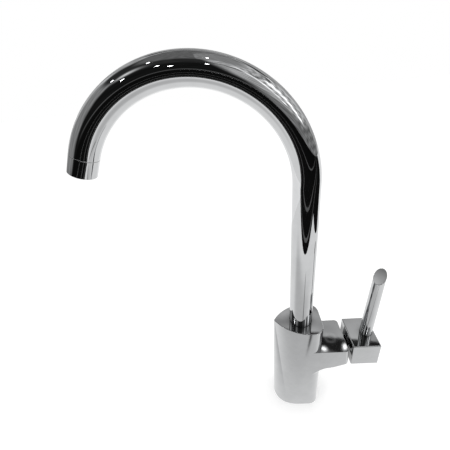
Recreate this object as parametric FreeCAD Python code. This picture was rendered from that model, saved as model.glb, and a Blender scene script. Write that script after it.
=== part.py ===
"""Three way filtered water tap: single-lever gooseneck sink tap with a swivel spout.

All lengths are millimetres and all angles are degrees. The origin is on the worktop under the
spout's axis, +Z points up, the spout points along -X and the lever stands on the +X side.
"""
import FreeCAD, Part
import math
import os

V = FreeCAD.Vector

# ---- spout ---------------------------------------------------------------------------------
SPOUT_OD = 25.0               # outer diameter of the bent tube
SPOUT_WALL = 1.5              # wall of the bent tube
SPOUT_STRAIGHT = 165.9        # straight run of the tube above the slip ring
BEND_RADIUS = 98.5            # centreline radius of the arch
BEND_ANGLE = 154.3            # sweep of the arch
NOZZLE_LENGTH = 15.85         # straight outlet nozzle
SEAM_GAP = 0.15               # fine seam between tube and nozzle
FOOT_LENGTH = 31.9            # part of the foot that turns inside the body
FOOT_SPIGOT = 15.6            # part of the foot that is soldered into the tube
FOOT_BORE = 16.0              # water bore of the foot
FOOT_WEB = 6.0                # drilled web that centres the filtered water tube
WEB_HOLES = 6
WEB_HOLE_D = 2.7
WEB_HOLE_RING_R = 6.1         # circle that the web's holes lie on
RING_SECTION = 1.86           # cord diameter of the spout's two sealing rings
RING_GROOVE_WIDTH = 2.5
RING_UPPER_DROP = 6.4         # upper ring's centre below the body's top
RING_LOWER_DROP = 22.0        # lower ring's centre below the body's top
LOCK_DROP = 14.2              # locking groove's centre below the body's top
LOCK_WIDTH = 3.6
LOCK_DEPTH = 1.65
LOCK_SCREW_RECESS = 2.5       # screw's outer end below the body's back
SLIP_RING_HEIGHT = 1.1
SLIP_RING_RECESS = 1.0        # depth of the slip ring's seat in the body's top

# ---- filtered water line inside the spout --------------------------------------------------
FILTER_TUBE_OD = 8.0
FILTER_TUBE_WALL = 1.0
FILTER_SOCKET_DEPTH = 3.7     # how far the tube's end stands in its socket
FILTER_RING_SECTION = 1.8
FILTER_RING_DROP = 1.9        # seal's centre below the socket's mouth

# ---- outlet --------------------------------------------------------------------------------
BUSH_LENGTH = 8.6             # soldered part of the threaded bush, along the arch
BUSH_THREAD_D = 20.8
BUSH_THREAD_LENGTH = 6.0
BUSH_BORE = 18.4
AERATOR_D = 21.9
AERATOR_HEIGHT = 7.7
AERATOR_RECESS = 0.8          # aerator's face above the nozzle's rim
AERATOR_WALL = 1.55
AERATOR_PLATE = 2.0
AERATOR_PLATE_HOLES = 8
AERATOR_PLATE_HOLE_D = 2.8
WASHER_HEIGHT = 1.0
CORE_D = 10.0                 # sleeve of the filtered water jet
CORE_BORE = 5.6
SCREEN_THICKNESS = 1.0
SCREEN_RISE = 1.0             # screen's underside above the aerator's face
SCREEN_HOLE_D = 1.2
SCREEN_ROWS = ((16, 0.28), (22, 0.72))   # holes in a row, row's place across the screen

# ---- body casting --------------------------------------------------------------------------
BODY_HEIGHT = 135.0
BODY_HALF_WIDTH = 23.0        # flat front and back sides
BODY_RIGHT = 22.9             # flat right side
BODY_CORNER_R = 12.5          # upright corners beside the arm
TOP_NOSE_X = -30.6            # tip of the narrow end at the top
TOP_NOSE_R = 2.0
TOP_FLAT = 0.4                # flat length of the front between its side arc and its corner
BASE_NOSE_X = -32.6           # the narrow end is fuller where it meets the worktop
BASE_NOSE_STEP = 1.3          # how much the nose radius falls short of the half width
BASE_FLAT = 13.2
TOP_EDGE_R = 0.6
BODY_WALL = 4.0
HOLLOW_HEIGHT = 35.0          # open hollow for the hoses and the fixing stud
SPOUT_BORE = 22.0
SPOUT_BORE_DEPTH = 39.5
GASKET_INSET = 1.1
GASKET_WIDTH = 1.7
GASKET_HEIGHT = 1.2

# ---- arm that carries the valve ------------------------------------------------------------
ARM_DROP = 31.6               # arm's top below the body's top
ARM_HEIGHT = 28.1
ARM_END_TOP_X = 51.2          # end face, leaning outwards as it goes down
ARM_END_BOTTOM_X = 53.2
ARM_TOE_R = 8.0               # rounding between the end face and the underside
ARM_ROOT_EDGE_R = 0.8         # lower long edges beside the body
ARM_SWELL_X = 35.0            # where those edges start to round off more
ARM_END_EDGE_R = 12.0         # the same edges beside the handle
ARM_CORNER_R = 4.0            # upright corners of the end face
ARM_COVE_R = 13.0             # hollow rounding under the arm

# ---- inlets and waterways ------------------------------------------------------------------
INLET_TAP_D = 9.0             # tapping diameter of the three hose threads
INLET_DEPTH = 12.0
INLET_X = 8.0
INLET_Y = 7.5
FILTER_INLET_X = -20.0
STUD_TAP_D = 6.8              # tapping diameter of the fixing stud's thread
STUD_DEPTH = 14.0
STUD_X = -6.0
WATERWAY_D = 4.0
PORT_RADIUS = 5.4             # valve ports from the valve's axis

# ---- valve ---------------------------------------------------------------------------------
VALVE_DROP = 13.9             # valve's axis below the arm's top
CHAMBER_FLOOR_X = 22.5
CHAMBER_D = 20.4
NUT_THREAD_D = 22.0
NUT_SEAT_X = 46.0             # nut's inner end on the cartridge
NUT_WIDTH = 5.0
NUT_BORE = 14.0
NUT_EDGE_R = 0.8
PORT_D = 3.4                  # ports through the cartridge's gasket, base and fixed disc
GASKET_PLATE = 1.5            # thicknesses of the flat pieces, from the chamber's floor
BASE_PLATE = 2.0
FIXED_DISC = 2.0
MOVING_DISC = 2.0
CARRIER = 3.4
SHELL_D = 20.0
SHELL_BORE = 17.2
SHELL_END_WALL = 1.6
DISC_D = 16.8
MOVING_DISC_D = 14.4
DISC_RECESS_D = 7.2           # shallow recess that joins the ports under the moving disc
DISC_RECESS_DEPTH = 1.0
PIVOT_X = 37.0                # lever's tilting axis
PIVOT_PIN_D = 2.4
PIVOT_PIN_LENGTH = 14.6
STEM_D = 6.0
STEM_HEAD_D = 7.0
STEM_HEAD_X = 60.0
STEM_END_X = 76.0
STEM_BALL_D = 3.0
STEM_NECK_D = 1.8
TILT = 12.0                   # lever's swing each way
SLOT_PLAY = 0.6               # room past the stem at each end of its swing

# ---- handle --------------------------------------------------------------------------------
HUB_X = 71.4                  # centre of the block
HUB_RISE = 3.4                # block's centre above the valve's axis
HUB_LENGTH = 30.6
HUB_DEPTH = 41.8
HUB_HEIGHT = 30.4
HUB_EDGE_R = 1.0
HUB_POCKET_D = 18.0
HUB_POCKET_DEPTH = 9.0
HANDLE_SCREW_LENGTH = 6.0
HANDLE_SCREW_X = 70.5
ROD_X = 77.1                  # rod's axis at the block's top
ROD_LEAN = 2.1                # rod's lean away from the spout
ROD_BASE_D = 13.7
ROD_TIP_D = 12.1
ROD_LENGTH = 90.0             # along the axis, before the slanted cut
ROD_CUT_HEIGHT = 83.8         # slanted face's centre above the block
ROD_CUT_ANGLE = 47.0
ROD_CUT_TURN = 39.0           # slanted face turned from the user's side towards the spout
ROD_SPIGOT_D = 6.0
ROD_SPIGOT_LENGTH = 8.0

# ---- fits ----------------------------------------------------------------------------------
RUN_FIT = 0.05                # clearance of turning and sliding fits
BALL_FIT = 0.1                # radial clearance of the stem's ball in its pocket
SEAT_FIT = 0.05               # clearance of seated pieces
FREE_GAP = 0.3                # gap between pieces that pass each other
GRUB_SCREW_D = 5.0
SOCKET_D = 2.5                # width across the hexagon sockets of the grub screws
SOCKET_DEPTH = 2.5
END_PLAY = 0.4                # free depth at the end of a blind hole
PAST = 5.0                    # how far a cutting shape runs past the surface it cuts

# ---- derived places ------------------------------------------------------------------------
SPOUT_R = SPOUT_OD / 2
SPOUT_BORE_R = SPOUT_BORE / 2
TUBE_BORE_R = SPOUT_R - SPOUT_WALL
ARM_TOP = BODY_HEIGHT - ARM_DROP
ARM_BOTTOM = ARM_TOP - ARM_HEIGHT
VALVE_Z = ARM_TOP - VALVE_DROP
HUB_Z = VALVE_Z + HUB_RISE
TUBE_FOOT_Z = BODY_HEIGHT - SLIP_RING_RECESS + SLIP_RING_HEIGHT + FREE_GAP
BEND_Z = TUBE_FOOT_Z + SPOUT_STRAIGHT
FOOT_R = SPOUT_BORE_R - RUN_FIT
BORE_FLOOR_Z = BODY_HEIGHT - SPOUT_BORE_DEPTH
TURRET_END_X = NUT_SEAT_X - SHELL_END_WALL - RUN_FIT
PIECES = {}


def cylinder(radius, height, base, direction):
    """Round bar from its base point along a direction."""
    return Part.makeCylinder(radius, height, base, direction)


def ring(outer, inner, height, base, direction):
    """Round bar with a through bore."""
    bar = cylinder(outer, height, base, direction)
    bore = cylinder(inner, height, base, direction)
    return bar.cut(bore)


def box(low, high):
    """Block between two opposite corners."""
    size = high - low
    return Part.makeBox(size.x, size.y, size.z, low)


def arc_edge(start, middle, end):
    """Circular edge through three points."""
    return Part.Arc(start, middle, end).toShape()


def valve_bar(radius, start_x, length):
    """Round bar on the valve's axis."""
    return cylinder(radius, length, V(start_x, 0, VALVE_Z), V(1, 0, 0))


def keep(name, shape):
    """Remember a finished piece under its node name."""
    PIECES[name] = shape


# ---- body casting --------------------------------------------------------------------------
def body_outline(nose_x, nose_r, flat, z):
    """Pear-shaped outline: narrow nose, two long side arcs, flat front, back and right side.

    The side arcs touch the nose's circle and the flats, which sets their radius.
    """
    half = BODY_HALF_WIDTH
    nose_c = nose_x + nose_r
    corner_x = BODY_RIGHT - BODY_CORNER_R
    side_x = corner_x - flat
    side_r = ((side_x - nose_c) ** 2 / (half - nose_r) + half + nose_r) / 2
    rise = side_r - half
    lean = math.atan2(rise, side_x - nose_c)
    touch_x = nose_c - nose_r * math.cos(lean)
    touch_y = nose_r * math.sin(lean)
    corner_y = BODY_HALF_WIDTH - BODY_CORNER_R
    diagonal = BODY_CORNER_R * math.sqrt(0.5)

    def side_middle(sign):
        angle = (lean + math.pi / 2) / 2
        return V(side_x - side_r * math.cos(angle), sign * (side_r * math.sin(angle) - rise), z)

    def touch(sign):
        return V(touch_x, sign * touch_y, z)

    def flat_start(sign):
        return V(side_x, sign * BODY_HALF_WIDTH, z)

    def corner_start(sign):
        return V(corner_x, sign * BODY_HALF_WIDTH, z)

    def corner_middle(sign):
        return V(corner_x + diagonal, sign * (corner_y + diagonal), z)

    def corner_end(sign):
        return V(BODY_RIGHT, sign * corner_y, z)

    edges = [
        arc_edge(touch(1), V(nose_x, 0, z), touch(-1)),
        arc_edge(touch(-1), side_middle(-1), flat_start(-1)),
        Part.makeLine(flat_start(-1), corner_start(-1)),
        arc_edge(corner_start(-1), corner_middle(-1), corner_end(-1)),
        Part.makeLine(corner_end(-1), corner_end(1)),
        arc_edge(corner_end(1), corner_middle(1), corner_start(1)),
        Part.makeLine(corner_start(1), flat_start(1)),
        arc_edge(flat_start(1), side_middle(1), touch(1)),
    ]
    return Part.Wire(edges)


def base_outline(z):
    """Outline of the body where it meets the worktop."""
    return body_outline(BASE_NOSE_X, BODY_HALF_WIDTH - BASE_NOSE_STEP, BASE_FLAT, z)


def body_column():
    """Upright body, ruled from its base outline to its top outline."""
    top = body_outline(TOP_NOSE_X, TOP_NOSE_R, TOP_FLAT, BODY_HEIGHT)
    column = Part.makeLoft([base_outline(0), top], True, True)
    rim = [e for e in column.Edges if abs(e.BoundBox.ZMin - BODY_HEIGHT) < 1e-6]
    return column.makeFillet(TOP_EDGE_R, rim)


def arm_section(x, edge_r):
    """Cross-section of the arm: square top corners and rounded bottom corners."""
    half = BODY_HALF_WIDTH
    low = ARM_BOTTOM
    turn = edge_r * (1 - math.sqrt(0.5))
    edges = [
        Part.makeLine(V(x, -half, ARM_TOP), V(x, half, ARM_TOP)),
        Part.makeLine(V(x, half, ARM_TOP), V(x, half, low + edge_r)),
        arc_edge(V(x, half, low + edge_r), V(x, half - turn, low + turn), V(x, half - edge_r, low)),
        Part.makeLine(V(x, half - edge_r, low), V(x, edge_r - half, low)),
        arc_edge(V(x, edge_r - half, low), V(x, turn - half, low + turn), V(x, -half, low + edge_r)),
        Part.makeLine(V(x, -half, low + edge_r), V(x, -half, ARM_TOP)),
    ]
    return Part.Wire(edges)


def arm_block():
    """Arm from inside the body to its slanting end face."""
    root_x = BODY_RIGHT - BODY_CORNER_R
    far_x = ARM_END_BOTTOM_X + PAST
    arm = Part.makeLoft([
        arm_section(root_x, ARM_ROOT_EDGE_R),
        arm_section(ARM_SWELL_X, ARM_ROOT_EDGE_R),
        arm_section(far_x, ARM_END_EDGE_R),
    ], True, True)
    slope = (ARM_END_BOTTOM_X - ARM_END_TOP_X) / (ARM_TOP - ARM_BOTTOM)
    wide = BODY_HALF_WIDTH + PAST
    profile = Part.makePolygon([
        V(ARM_END_TOP_X - slope * PAST, -wide, ARM_TOP + PAST),
        V(ARM_END_BOTTOM_X + slope * PAST, -wide, ARM_BOTTOM - PAST),
        V(far_x + PAST, -wide, ARM_BOTTOM - PAST),
        V(far_x + PAST, -wide, ARM_TOP + PAST),
        V(ARM_END_TOP_X - slope * PAST, -wide, ARM_TOP + PAST),
    ])
    arm = arm.cut(Part.Face(profile).extrude(V(0, 2 * wide, 0)))
    uprights = []
    for edge in arm.Edges:
        bounds = edge.BoundBox
        at_end = bounds.XMin > ARM_END_TOP_X - TOP_EDGE_R
        on_side = abs(abs(bounds.Center.y) - BODY_HALF_WIDTH) < 1e-6
        if at_end and on_side and bounds.YLength < 1e-6:
            uprights.append(edge)
    return arm.makeFillet(ARM_CORNER_R, uprights).cut(arm_toe(slope, wide))


def arm_toe(slope, wide):
    """Waste outside the rounding between the arm's end face and its underside."""
    lean = math.atan(slope)
    centre_x = ARM_END_BOTTOM_X - slope * ARM_TOE_R - ARM_TOE_R / math.cos(lean)
    centre_z = ARM_BOTTOM + ARM_TOE_R

    def toe(angle):
        x = centre_x + ARM_TOE_R * math.cos(angle)
        return V(x, -wide, centre_z + ARM_TOE_R * math.sin(angle))

    start = toe(lean)
    end = toe(-math.pi / 2)
    far_x = start.x + 2 * PAST
    low = ARM_BOTTOM - PAST
    edges = [
        arc_edge(start, toe((lean - math.pi / 2) / 2), end),
        Part.makeLine(end, V(end.x, -wide, low)),
        Part.makeLine(V(end.x, -wide, low), V(far_x, -wide, low)),
        Part.makeLine(V(far_x, -wide, low), V(far_x, -wide, start.z)),
        Part.makeLine(V(far_x, -wide, start.z), start),
    ]
    return Part.Face(Part.Wire(edges)).extrude(V(0, 2 * wide, 0))


def cove_section(inner, axis_x, y):
    """Cove profile in a plane across the body's side: a square with its far corner hollowed."""
    outer = inner + ARM_COVE_R
    top = ARM_BOTTOM + ARM_ROOT_EDGE_R
    low = ARM_BOTTOM - ARM_COVE_R
    bend = ARM_COVE_R * (1 - math.sqrt(0.5))
    inside = axis_x + inner - BODY_CORNER_R / 2
    edges = [
        Part.makeLine(V(inside, y, low), V(inside, y, top)),
        Part.makeLine(V(inside, y, top), V(axis_x + outer, y, top)),
        Part.makeLine(V(axis_x + outer, y, top), V(axis_x + outer, y, ARM_BOTTOM)),
        arc_edge(V(axis_x + outer, y, ARM_BOTTOM),
                 V(axis_x + inner + bend, y, ARM_BOTTOM - bend),
                 V(axis_x + inner, y, low)),
        Part.makeLine(V(axis_x + inner, y, low), V(inside, y, low)),
    ]
    return Part.Face(Part.Wire(edges))


def arm_cove():
    """Hollow rounding that carries the arm's underside round into the body."""
    corner_x = BODY_RIGHT - BODY_CORNER_R
    corner_y = BODY_HALF_WIDTH - BODY_CORNER_R
    cove = cove_section(BODY_CORNER_R, corner_x, -corner_y).extrude(V(0, 2 * corner_y, 0))
    for sign in (-1, 1):
        profile = cove_section(BODY_CORNER_R, corner_x, sign * corner_y)
        turned = profile.revolve(V(corner_x, sign * corner_y, 0), V(0, 0, sign), 90)
        cove = cove.fuse(turned)
    far = BODY_RIGHT + ARM_COVE_R + PAST
    low = V(corner_x, -BODY_HALF_WIDTH, 0)
    return cove.common(box(low, V(far, BODY_HALF_WIDTH, BODY_HEIGHT)))


def inlet_places():
    """Plan positions of the hot, cold and filtered water inlets."""
    return [(INLET_X, -INLET_Y), (INLET_X, INLET_Y), (FILTER_INLET_X, 0)]


def waterways():
    """Drilled channels from the inlets to the valve and from the valve to the spout."""
    r = WATERWAY_D / 2
    up = V(0, 0, 1)
    inward = V(-1, 0, 0)
    port_drop = VALVE_Z - PORT_RADIUS
    tops = [VALVE_Z, VALVE_Z, port_drop]
    cuts = []
    for (x, y), top in zip(inlet_places(), tops):
        cuts.append(cylinder(r, top + r - HOLLOW_HEIGHT, V(x, y, HOLLOW_HEIGHT), up))
        cuts.append(cylinder(INLET_TAP_D / 2, INLET_DEPTH, V(x, y, HOLLOW_HEIGHT), up))
    floor = CHAMBER_FLOOR_X
    for sign in (-1, 1):
        start = V(floor, sign * PORT_RADIUS, VALVE_Z)
        cuts.append(cylinder(r, floor - INLET_X, start, inward))
    cuts.append(cylinder(r, floor - FILTER_INLET_X, V(floor, 0, port_drop), inward))
    cuts.append(cylinder(r, floor, V(floor, 0, VALVE_Z), inward))
    cuts.append(cylinder(r, floor - SPOUT_BORE_R + r, V(floor, 0, VALVE_Z + PORT_RADIUS), inward))
    cuts.append(cylinder(STUD_TAP_D / 2, STUD_DEPTH, V(STUD_X, 0, HOLLOW_HEIGHT), up))
    return cuts


def valve_chamber():
    """Stepped bore of the arm for the cartridge and its nut."""
    far = ARM_END_BOTTOM_X + PAST
    return [
        valve_bar(CHAMBER_D / 2, CHAMBER_FLOOR_X, NUT_SEAT_X - CHAMBER_FLOOR_X),
        valve_bar(NUT_THREAD_D / 2, NUT_SEAT_X, far - NUT_SEAT_X),
    ]


def spout_seat():
    """Bores in the body's top for the foot, the slip ring and the filtered water tube."""
    down = V(0, 0, -1)
    socket_r = FILTER_TUBE_OD / 2 + RUN_FIT
    groove_r = socket_r + FILTER_RING_SECTION + SEAT_FIT
    groove_h = FILTER_RING_SECTION + 2 * SEAT_FIT
    groove_z = BORE_FLOOR_Z - FILTER_RING_DROP + groove_h / 2
    socket = BORE_FLOOR_Z - VALVE_Z + WATERWAY_D / 2
    return [
        cylinder(SPOUT_BORE_R, SPOUT_BORE_DEPTH, V(0, 0, BODY_HEIGHT), down),
        cylinder(SPOUT_R + SEAT_FIT, SLIP_RING_RECESS, V(0, 0, BODY_HEIGHT), down),
        cylinder(socket_r, socket, V(0, 0, BORE_FLOOR_Z), down),
        cylinder(groove_r, groove_h, V(0, 0, groove_z), down),
    ]


def lock_screw_hole():
    """Cross hole in the body's back for the screw that keeps the spout in."""
    z = BODY_HEIGHT - LOCK_DROP
    start = V(0, SPOUT_BORE_R - LOCK_DEPTH, z)
    length = BODY_HALF_WIDTH + PAST - start.y
    return cylinder(GRUB_SCREW_D / 2 + SEAT_FIT, length, start, V(0, 1, 0))


def inset_face(distance, z):
    """Base outline moved inwards, as a face."""
    return Part.Face(base_outline(z)).makeOffset2D(-distance)


def gasket_band(grow, height):
    """Band that follows the base outline inside the body's wall."""
    outer = inset_face(GASKET_INSET - grow, 0)
    inner = inset_face(GASKET_INSET + GASKET_WIDTH + grow, 0)
    return outer.cut(inner).extrude(V(0, 0, height))


def make_body():
    """One casting: column, arm, cove, hollow base, bores and channels."""
    casting = body_column().fuse([arm_block(), arm_cove()])
    hollow = inset_face(BODY_WALL, 0).extrude(V(0, 0, HOLLOW_HEIGHT))
    cuts = [hollow, gasket_band(SEAT_FIT, GASKET_HEIGHT + SEAT_FIT), lock_screw_hole()]
    cuts += spout_seat() + valve_chamber() + waterways()
    keep("body_casting", casting.cut(cuts))
    keep("base_gasket", gasket_band(0, GASKET_HEIGHT))


# ---- spout ---------------------------------------------------------------------------------
def bend_point(angle):
    """Point on the arch's centreline."""
    a = math.radians(angle)
    return V(BEND_RADIUS * (math.cos(a) - 1), 0, BEND_Z + BEND_RADIUS * math.sin(a))


def arch_rod(radius, start_angle, end_angle):
    """Round bar that follows the arch between two angles."""
    circle = Part.Circle(V(0, 0, BEND_Z), V(0, 0, 1), radius)
    disc = Part.Face(Part.Wire([circle.toShape()]))
    centre = V(-BEND_RADIUS, 0, BEND_Z)
    axis = V(0, -1, 0)
    disc.rotate(centre, axis, start_angle)
    return disc.revolve(centre, axis, end_angle - start_angle)


def at_outlet(shape):
    """Move a piece that is drawn from the origin along +Z to the arch's end."""
    placed = shape.copy()
    placed.Placement = FreeCAD.Placement(
        bend_point(BEND_ANGLE), FreeCAD.Rotation(V(0, 1, 0), -BEND_ANGLE))
    return placed


def sealing_ring(centre_r, section, z):
    """Rubber ring of round section about the spout's axis."""
    return Part.makeTorus(centre_r, section / 2, V(0, 0, z), V(0, 0, 1))


def make_spout_tube():
    """Bent tube: straight riser and arch, open at both ends."""
    up = V(0, 0, 1)
    start = V(0, 0, TUBE_FOOT_Z)
    outer = cylinder(SPOUT_R, SPOUT_STRAIGHT, start, up).fuse(arch_rod(SPOUT_R, 0, BEND_ANGLE))
    inner = cylinder(TUBE_BORE_R, SPOUT_STRAIGHT, start, up)
    inner = inner.fuse(arch_rod(TUBE_BORE_R, 0, BEND_ANGLE))
    keep("spout_tube", outer.cut(inner).removeSplitter())


def make_foot():
    """Turned foot of the spout with its ring grooves, lock groove and drilled web."""
    up = V(0, 0, 1)
    bottom = TUBE_FOOT_Z - FOOT_LENGTH
    total = FOOT_LENGTH + FOOT_SPIGOT
    foot = cylinder(FOOT_R, FOOT_LENGTH, V(0, 0, bottom), up)
    foot = foot.fuse(cylinder(TUBE_BORE_R, FOOT_SPIGOT, V(0, 0, TUBE_FOOT_Z), up))
    bore = cylinder(FOOT_BORE / 2, total - FOOT_WEB, V(0, 0, bottom + FOOT_WEB), up)
    passage = cylinder(FILTER_TUBE_OD / 2 + SEAT_FIT, total, V(0, 0, bottom), up)
    cuts = [bore, passage]
    for i in range(WEB_HOLES):
        a = 2 * math.pi * i / WEB_HOLES
        base = V(WEB_HOLE_RING_R * math.cos(a), WEB_HOLE_RING_R * math.sin(a), bottom)
        cuts.append(cylinder(WEB_HOLE_D / 2, FOOT_WEB, base, up))
    floor_r = FOOT_R - RING_SECTION
    for drop in (RING_UPPER_DROP, RING_LOWER_DROP):
        low = V(0, 0, BODY_HEIGHT - drop - RING_GROOVE_WIDTH / 2)
        cuts.append(ring(FOOT_R + PAST, floor_r, RING_GROOVE_WIDTH, low, up))
    low = V(0, 0, BODY_HEIGHT - LOCK_DROP - LOCK_WIDTH / 2)
    cuts.append(ring(FOOT_R + PAST, FOOT_R - LOCK_DEPTH, LOCK_WIDTH, low, up))
    keep("spout_foot", foot.cut(cuts).removeSplitter())
    rings = []
    for drop in (RING_UPPER_DROP, RING_LOWER_DROP):
        rings.append(sealing_ring(FOOT_R - RING_SECTION / 2, RING_SECTION, BODY_HEIGHT - drop))
    keep("spout_sealing_rings", Part.makeCompound(rings))


def make_slip_ring():
    """Plastic ring that the tube turns on."""
    base = V(0, 0, BODY_HEIGHT - SLIP_RING_RECESS)
    shape = ring(SPOUT_R, SPOUT_BORE_R, SLIP_RING_HEIGHT, base, V(0, 0, 1))
    keep("spout_slip_ring", shape)


def hexagon_socket(base, direction):
    """Six-sided socket of a grub screw."""
    corner = SOCKET_D / math.sqrt(3)
    points = []
    for i in range(7):
        a = math.radians(60 * i)
        points.append(V(corner * math.cos(a), corner * math.sin(a), 0))
    bar = Part.Face(Part.makePolygon(points)).extrude(V(0, 0, SOCKET_DEPTH))
    bar.Placement = FreeCAD.Placement(base, FreeCAD.Rotation(V(0, 0, 1), direction))
    return bar


def make_lock_screw():
    """Dog-point screw in the body's back that runs in the foot's lock groove."""
    z = BODY_HEIGHT - LOCK_DROP
    out = V(0, 1, 0)
    tip_y = FOOT_R - LOCK_DEPTH + FREE_GAP + SEAT_FIT
    start_y = SPOUT_BORE_R + FREE_GAP
    length = BODY_HALF_WIDTH - start_y - LOCK_SCREW_RECESS
    point_r = LOCK_WIDTH / 2 - FREE_GAP - SEAT_FIT
    screw = cylinder(GRUB_SCREW_D / 2, length, V(0, start_y, z), out)
    screw = screw.fuse(cylinder(point_r, start_y - tip_y, V(0, tip_y, z), out))
    socket = hexagon_socket(V(0, start_y + length, z), V(0, -1, 0))
    keep("spout_lock_screw", screw.cut(socket))


def make_filter_line():
    """Inner tube for filtered water, from its socket in the body to the outlet."""
    up = V(0, 0, 1)
    r = FILTER_TUBE_OD / 2
    bore = r - FILTER_TUBE_WALL
    low = BORE_FLOOR_Z - FILTER_SOCKET_DEPTH
    straight = BEND_Z - low
    seat = NOZZLE_LENGTH + SEAM_GAP - AERATOR_RECESS - AERATOR_HEIGHT + AERATOR_PLATE
    outer = cylinder(r, straight, V(0, 0, low), up).fuse(arch_rod(r, 0, BEND_ANGLE))
    outer = outer.fuse(at_outlet(cylinder(r, seat, V(0, 0, 0), up)))
    inner = cylinder(bore, straight, V(0, 0, low), up).fuse(arch_rod(bore, 0, BEND_ANGLE))
    inner = inner.fuse(at_outlet(cylinder(bore, seat, V(0, 0, 0), up)))
    keep("filtered_water_tube", outer.cut(inner).removeSplitter())
    ring_r = r + RUN_FIT + FILTER_RING_SECTION / 2
    z = BORE_FLOOR_Z - FILTER_RING_DROP
    keep("filtered_water_seal", sealing_ring(ring_r, FILTER_RING_SECTION, z))


def make_outlet():
    """Threaded bush in the tube's end and the flush nozzle that screws onto it."""
    up = V(0, 0, 1)
    sweep = math.degrees(BUSH_LENGTH / BEND_RADIUS)
    bush = arch_rod(TUBE_BORE_R, BEND_ANGLE - sweep, BEND_ANGLE)
    bush = bush.fuse(at_outlet(cylinder(BUSH_THREAD_D / 2, BUSH_THREAD_LENGTH, V(0, 0, 0), up)))
    bore = arch_rod(BUSH_BORE / 2, BEND_ANGLE - sweep, BEND_ANGLE)
    bore = bore.fuse(at_outlet(cylinder(BUSH_BORE / 2, BUSH_THREAD_LENGTH, V(0, 0, 0), up)))
    keep("outlet_bush", bush.cut(bore).removeSplitter())
    thread = BUSH_THREAD_LENGTH + FREE_GAP - SEAM_GAP
    start = V(0, 0, SEAM_GAP)
    nozzle = cylinder(SPOUT_R, NOZZLE_LENGTH, start, up)
    nozzle = nozzle.cut([
        cylinder(BUSH_THREAD_D / 2 + SEAT_FIT, thread, start, up),
        cylinder(AERATOR_D / 2 + SEAT_FIT, NOZZLE_LENGTH, V(0, 0, SEAM_GAP + thread), up),
    ])
    keep("outlet_nozzle", at_outlet(nozzle))


def aerator_top():
    """Distance of the aerator's inner side from the arch's end."""
    return SEAM_GAP + NOZZLE_LENGTH - AERATOR_RECESS - AERATOR_HEIGHT


def make_aerator():
    """Aerator: washer, cup with a drilled plate, ring screen and the filtered water core."""
    up = V(0, 0, 1)
    top = aerator_top()
    cup_r = AERATOR_D / 2
    cup_bore = cup_r - AERATOR_WALL
    cup = cylinder(cup_r, AERATOR_HEIGHT, V(0, 0, top), up)
    under_plate = top + AERATOR_PLATE
    cuts = [
        cylinder(cup_bore, AERATOR_HEIGHT, V(0, 0, under_plate), up),
        cylinder(FILTER_TUBE_OD / 2 + SEAT_FIT, AERATOR_HEIGHT, V(0, 0, top), up),
    ]
    hole_ring = (cup_bore + CORE_D / 2) / 2
    for i in range(AERATOR_PLATE_HOLES):
        a = 2 * math.pi * i / AERATOR_PLATE_HOLES
        base = V(hole_ring * math.cos(a), hole_ring * math.sin(a), top)
        cuts.append(cylinder(AERATOR_PLATE_HOLE_D / 2, AERATOR_PLATE, base, up))
    keep("aerator_cup", at_outlet(cup.cut(cuts)))
    washer_r = cup_r - SEAT_FIT
    washer = ring(washer_r, cup_bore, WASHER_HEIGHT, V(0, 0, top - WASHER_HEIGHT), up)
    keep("aerator_washer", at_outlet(washer))
    core_height = AERATOR_HEIGHT - AERATOR_PLATE
    core = ring(CORE_D / 2, CORE_BORE / 2, core_height, V(0, 0, under_plate), up)
    keep("filtered_water_core", at_outlet(core))
    low = top + AERATOR_HEIGHT - SCREEN_RISE - SCREEN_THICKNESS
    screen_in = CORE_D / 2 + SEAT_FIT
    screen_out = cup_bore - SEAT_FIT
    screen = ring(screen_out, screen_in, SCREEN_THICKNESS, V(0, 0, low), up)
    span = screen_out - screen_in
    holes = []
    for count, share in SCREEN_ROWS:
        row_r = screen_in + share * span
        for i in range(count):
            a = 2 * math.pi * i / count
            base = V(row_r * math.cos(a), row_r * math.sin(a), low)
            holes.append(cylinder(SCREEN_HOLE_D / 2, SCREEN_THICKNESS, base, up))
    keep("aerator_screen", at_outlet(screen.cut(holes)))


# ---- valve ---------------------------------------------------------------------------------
def port_holes(start_x, length):
    """Five water ports about the valve's axis: hot, cold, mixed, filtered in and filtered out."""
    places = [(0, 0), (-PORT_RADIUS, 0), (PORT_RADIUS, 0), (0, -PORT_RADIUS), (0, PORT_RADIUS)]
    out = V(1, 0, 0)
    return [cylinder(PORT_D / 2, length, V(start_x, y, VALVE_Z + z), out) for y, z in places]


def disc_stack():
    """Start of each flat piece that lies in the cartridge, counted from the chamber's floor."""
    gasket = CHAMBER_FLOOR_X
    base = gasket + GASKET_PLATE
    fixed = base + BASE_PLATE
    moving = fixed + FIXED_DISC + RUN_FIT
    carrier = moving + MOVING_DISC
    turret = carrier + CARRIER + FREE_GAP
    return gasket, base, fixed, moving, carrier, turret


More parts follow.
